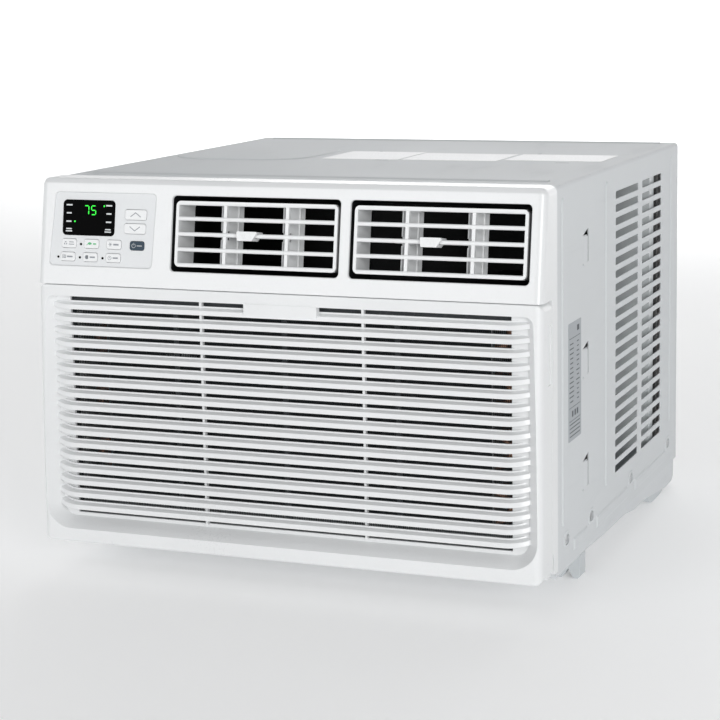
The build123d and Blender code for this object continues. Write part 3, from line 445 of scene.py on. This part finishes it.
# ---------------------------------------------------------------- mesh helpers
def finish_piece(name, bm, look, body, stands_for=(), bevel=0):
    """Makes an object of the mesh and ties it to its body, slot and the nodes it stands for."""
    bmesh.ops.recalc_face_normals(bm, faces=bm.faces)
    mesh = bpy.data.meshes.new(name)
    bm.to_mesh(mesh)
    bm.free()
    mesh.materials.append(look)
    obj = bpy.data.objects.new(name, mesh)
    scene.collection.objects.link(obj)
    if bevel:
        add_bevel(obj, bevel)
    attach(obj, body)
    if stands_for:
        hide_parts(*stands_for)


def add_box(bm, low, high):
    corners = [bm.verts.new((x, y, z)) for x in (low[0], high[0]) for y in (low[1], high[1])
               for z in (low[2], high[2])]
    sides = ((0, 1, 3, 2), (4, 6, 7, 5), (0, 4, 5, 1), (2, 3, 7, 6), (0, 2, 6, 4), (1, 5, 7, 3))
    for ids in sides:
        bm.faces.new([corners[i] for i in ids])


def add_prism(bm, outline, origin, across, along, normal, low, high):
    """A flat figure given in millimetres, raised from low to high along the normal."""
    rings = []
    for level in (low, high):
        rings.append([bm.verts.new(origin + across * (x * MM) + along * (y * MM)
                                   + normal * (level * MM)) for x, y in outline])
    bm.faces.new(rings[0][::-1])
    bm.faces.new(rings[1])
    count = len(outline)
    for i in range(count):
        j = (i + 1) % count
        bm.faces.new((rings[0][i], rings[0][j], rings[1][j], rings[1][i]))


def bar(x, y, width, height):
    return [(x - width / 2, y - height / 2), (x + width / 2, y - height / 2),
            (x + width / 2, y + height / 2), (x - width / 2, y + height / 2)]


def arc(x, y, radius, start, end, steps):
    """Points on an arc between two angles in degrees."""
    return [(x + radius * math.cos(math.radians(start + (end - start) * i / steps)),
             y + radius * math.sin(math.radians(start + (end - start) * i / steps)))
            for i in range(steps + 1)]


def ring_part(x, y, outer, inner, start=0, end=360):
    """Ring sectors as separate four-sided figures."""
    steps = 20
    made = []
    for i in range(steps):
        a = start + (end - start) * i / steps
        b = start + (end - start) * (i + 1) / steps
        made.append(arc(x, y, outer, a, b, 1) + arc(x, y, inner, b, a, 1))
    return made


def stroke(points, width):
    """A broken line of even width, mitred at its middle points."""
    left, right = [], []
    for i, (x, y) in enumerate(points):
        ahead = points[min(i + 1, len(points) - 1)]
        back = points[max(i - 1, 0)]
        direction = Vector((ahead[0] - back[0], ahead[1] - back[1])).normalized()
        side = Vector((-direction.y, direction.x)) * width / 2
        if 0 < i < len(points) - 1:
            step = Vector((ahead[0] - x, ahead[1] - y)).normalized()
            side = side / max(0.5, abs(side.normalized().dot(Vector((-step.y, step.x)))))
        left.append((x + side.x, y + side.y))
        right.append((x - side.x, y - side.y))
    return left + right[::-1]


# ---------------------------------------------------------------- prints on the control face
INWARD = Vector(next(j["axis"] for j in frame["joints"] if j["name"] == "raise_press"))
OUT = -INWARD
UP = Vector((0, OUT.z, -OUT.y))
ACROSS = Vector((1, 0, 0))
INK_FROM, INK_TO = -0.02, 0.05


def front_of(node):
    """Middle of a node's front, on the sloping face."""
    points = [v.co for v in frame["nodes"][node].data.vertices]
    xs = [p.x for p in points]
    ups = [p.dot(UP) for p in points]
    return (ACROSS * ((min(xs) + max(xs)) / 2) + UP * ((min(ups) + max(ups)) / 2)
            + OUT * max(p.dot(OUT) for p in points))


def print_on(name, node, figures, ink, body):
    bm = bmesh.new()
    middle = front_of(node)
    for figure in figures:
        add_prism(bm, figure, middle, ACROSS, UP, OUT, INK_FROM, INK_TO)
    finish_piece(name, bm, ink, body)


def leaf():
    upper = [(-2.2 + 4.4 * i / 10, 1.5 * math.sin(math.pi * i / 10) ** 0.8) for i in range(11)]
    lower = [(2.2 - 4.4 * i / 10, -0.9 * math.sin(math.pi * i / 10)) for i in range(1, 10)]
    return [upper + lower, stroke([(-3.2, -1.2), (-1.6, 0.0)], 0.5)]


def crescent():
    outer = arc(0, 0, 1.9, 50, 310, 18)
    inner = arc(0.95, 0, 1.55, 290, 70, 14)
    return [outer + inner]


def clock():
    return ring_part(0, 0, 1.9, 1.5) + [stroke([(0, 1.1), (0, 0), (0.9, 0)], 0.42)]


def fan_sign():
    reach = 0.95
    return [arc(reach * math.cos(math.radians(turn)), reach * math.sin(math.radians(turn)), 0.85,
                turn - 90, turn + 120, 10) for turn in (90, 210, 330)]


def grid_sign():
    return ([bar(x, 0, 0.4, 3.4) for x in (-1.5, 0, 1.5)]
            + [bar(0, y, 3.6, 0.4) for y in (-1.2, 0.0, 1.2)])


def star_sign():
    reach = 1.9
    made = []
    for turn in (0, 60, 120):
        c, s = math.cos(math.radians(turn)), math.sin(math.radians(turn))
        made.append(stroke([(-reach * c, -reach * s), (reach * c, reach * s)], 0.42))
    return made


def arrow(rise):
    return [stroke([(-5.2, -rise), (0, rise), (5.2, -rise)], 0.75)]


def power_sign():
    return (ring_part(-3.2, 0, 2.1, 1.55, 115, 425)
            + [bar(-3.2, 1.5, 0.5, 2.1), bar(2.6, 0, 5.2, 1.0)])


def moved(figures, dx):
    return [[(x + dx, y) for x, y in figure] for figure in figures]


# what each key carries: a sign at the left and plain bars where a word would be, in millimetres
KEY_MARKS = {
    "raise": (arrow(1.9), GREY_INK),
    "lower": (arrow(-1.9), GREY_INK),
    "power": (power_sign(), PALE_INK),
    "fan": (moved(fan_sign(), -3.4) + [bar(2.6, 1.1, 4.8, 0.75), bar(2.6, -0.9, 5.6, 0.75)],
            GREY_INK),
    "saver": (moved(leaf(), -1.6) + [bar(3.4, 0, 3.2, 1.3)], GREEN_INK),
    "mode": (moved(star_sign(), -3.4) + [bar(2.4, 0, 5.4, 1.5)], GREY_INK),
    "filter": (moved(grid_sign(), -3.6) + [bar(2.2, 0, 5.8, 1.4)], GREY_INK),
    "night": (moved(crescent(), -3.4) + [bar(2.4, 0, 5.4, 1.4)], GREY_INK),
    "timer": (moved(clock(), -3.4) + [bar(2.4, 0, 5.2, 1.4)], GREY_INK),
}
for key, (figures, ink) in KEY_MARKS.items():
    print_on(f"{key}_mark", f"{key}_button", figures, ink, f"{key}_key")

low_d, high_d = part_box("display_window")
half_w = (high_d.x - low_d.x) / MM / 2
marks = []
for s in (-1, 1):
    for y, width in ((11.4, 6.2), (4.0, 5.2), (-3.6, 5.4)):
        marks.append(bar(s * (half_w - 6.2), y, width, 1.3))
    for y, width in ((-10.4, 5.8), (-12.5, 6.6)):
        marks.append(bar(s * (half_w - 6.6), y, width, 1.1))
print_on("display_marks", "display_window", marks, BRIGHT_INK, "chassis")


# ---------------------------------------------------------------- rating plate on the right side
low_r, high_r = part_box("rating_label")
plate = bmesh.new()
plate_w = (high_r.y - low_r.y) / MM
plate_h = (high_r.z - low_r.z) / MM
plate_mid = Vector((high_r.x, (low_r.y + high_r.y) / 2, (low_r.z + high_r.z) / 2))
plate_top, plate_foot = plate_h / 2, -plate_h / 2
rng = random.Random(7)
rules = (plate_top - 14, plate_foot + 30, plate_foot + 18)
figures = [bar(0, y, 0.86 * plate_w, 0.5) for y in rules]
figures.append(bar(0.26 * plate_w, plate_top - 7, 7, 5))
for i in range(13):
    y = plate_top - 19 - i * 4.3
    figures.append(bar(-0.25 * plate_w, y, rng.uniform(9, 15), 1.0))
    figures.append(bar(0.24 * plate_w, y, rng.uniform(5, 12), 1.0))
for i in range(4):
    figures.append(bar(0, plate_foot + 15 - i * 3.6, 0.8 * plate_w, 0.9))
for x in (-0.18, 0.02, 0.2):
    figures.append(bar(x * plate_w, plate_foot + 24, 4.6, 5.4))
for figure in figures:
    add_prism(plate, figure, plate_mid, Vector((0, 1, 0)), Vector((0, 0, 1)), Vector((1, 0, 0)),
              INK_FROM, INK_TO)
finish_piece("rating_plate_print", plate, DARK_INK, "chassis")


# ---------------------------------------------------------------- coils with thin rippled fins
FIN_PITCH, FIN_THICK, FIN_RIPPLE = 1.9, 0.16, 0.45


def fin_stack(name, node, look):
    """Separate thin fins across a coil's width, each rippled, slightly off pitch and leaning."""
    low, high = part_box(node)
    bm = bmesh.new()
    count = int((high.x - low.x - 3 * MM) / (FIN_PITCH * MM))
    first = (low.x + high.x) / 2 - (count - 1) * FIN_PITCH * MM / 2
    steps = 8
    shake = random.Random(11)
    for i in range(count):
        x = first + i * FIN_PITCH * MM + shake.uniform(-0.12, 0.12) * MM
        lean = shake.uniform(-0.15, 0.15) * MM
        rows = []
        for side in (-0.5, 0.5):
            for z, extra in ((low.z, -lean), (high.z, lean)):
                row = []
                for k in range(steps + 1):
                    wave = FIN_RIPPLE * MM * (1 if k % 2 else -1) * (0 < k < steps)
                    y = low.y + (high.y - low.y) * k / steps
                    row.append(bm.verts.new((x + side * FIN_THICK * MM + extra + wave, y, z)))
                rows.append(row)
        a, b, c, d = rows
        for k in range(steps):
            bm.faces.new((a[k], a[k + 1], b[k + 1], b[k]))
            bm.faces.new((c[k], d[k], d[k + 1], c[k + 1]))
            bm.faces.new((a[k], c[k], c[k + 1], a[k + 1]))
            bm.faces.new((b[k], b[k + 1], d[k + 1], d[k]))
        bm.faces.new((a[0], b[0], d[0], c[0]))
        bm.faces.new((a[-1], c[-1], d[-1], b[-1]))
    finish_piece(name, bm, look, "chassis", (node,))


# the evaporator fins carry the near-black painted shade of the interior
fin_stack("evaporator_fin_stack", "evaporator_fins", SHADE_DARK_FIN)
fin_stack("condenser_fin_stack", "condenser_fins", LOOKS["fin_aluminium"])


def tube_sheet(name, node, slot):
    """Flat end plates of a coil."""
    low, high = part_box(node)
    bm = bmesh.new()
    for s, x in ((-1, low.x), (1, high.x)):
        a, b = sorted((x - s * 0.8 * MM, x + s * 0.6 * MM))
        add_box(bm, (a, low.y + 0.2 * MM, low.z + 0.5 * MM),
                (b, high.y - 0.2 * MM, high.z - 0.5 * MM))
    finish_piece(name, bm, LOOKS[slot], "chassis", bevel=0.2)


tube_sheet("evaporator_end_plates", "evaporator_fins", "galvanised_sheet")
# The condenser end plates are coloured black as painted shade, where the coil ends lie in shadow behind the side
# vents.
tube_sheet("condenser_end_plates", "condenser_fins", "black_enamel")


def side_seals():
    """Foam strips that close the gap between the condenser's ends and the cabinet's sides."""
    low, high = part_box("condenser_fins")
    wall = cad_box[1][0] - 2.6 * MM
    bm = bmesh.new()
    for s, end in ((-1, low.x), (1, high.x)):
        inner, outer = sorted((end + s * 0.9 * MM, s * wall))
        add_box(bm, (inner, low.y - 2 * MM, low.z + 2 * MM),
                (outer, low.y + 4 * MM, high.z - 2 * MM))
    finish_piece("condenser_side_seals", bm, LOOKS["black_rubber"], "chassis",
                 bevel=0.8)


side_seals()


# ---------------------------------------------------------------- filter net
def filter_net():
    """Upright strands, with level strands just in front of them."""
    low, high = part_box("filter_mesh")
    mid = (low.y + high.y) / 2
    bm = bmesh.new()
    pitch, strand = 1.7 * MM, 0.2 * MM
    across = int((high.x - low.x) / pitch)
    up = int((high.z - low.z) / pitch)
    for i in range(across + 1):
        x = low.x + (high.x - low.x) * i / across
        add_box(bm, (x - strand, mid - strand * 0.1, low.z),
                (x + strand, mid + strand * 1.6, high.z))
    for i in range(up + 1):
        z = low.z + (high.z - low.z) * i / up
        add_box(bm, (low.x, mid - strand * 1.6, z - strand),
                (high.x, mid + strand * 0.1, z + strand))
    finish_piece("filter_net", bm, LOOKS["filter_net"], "intake_panel",
                 ("filter_mesh",))


filter_net()
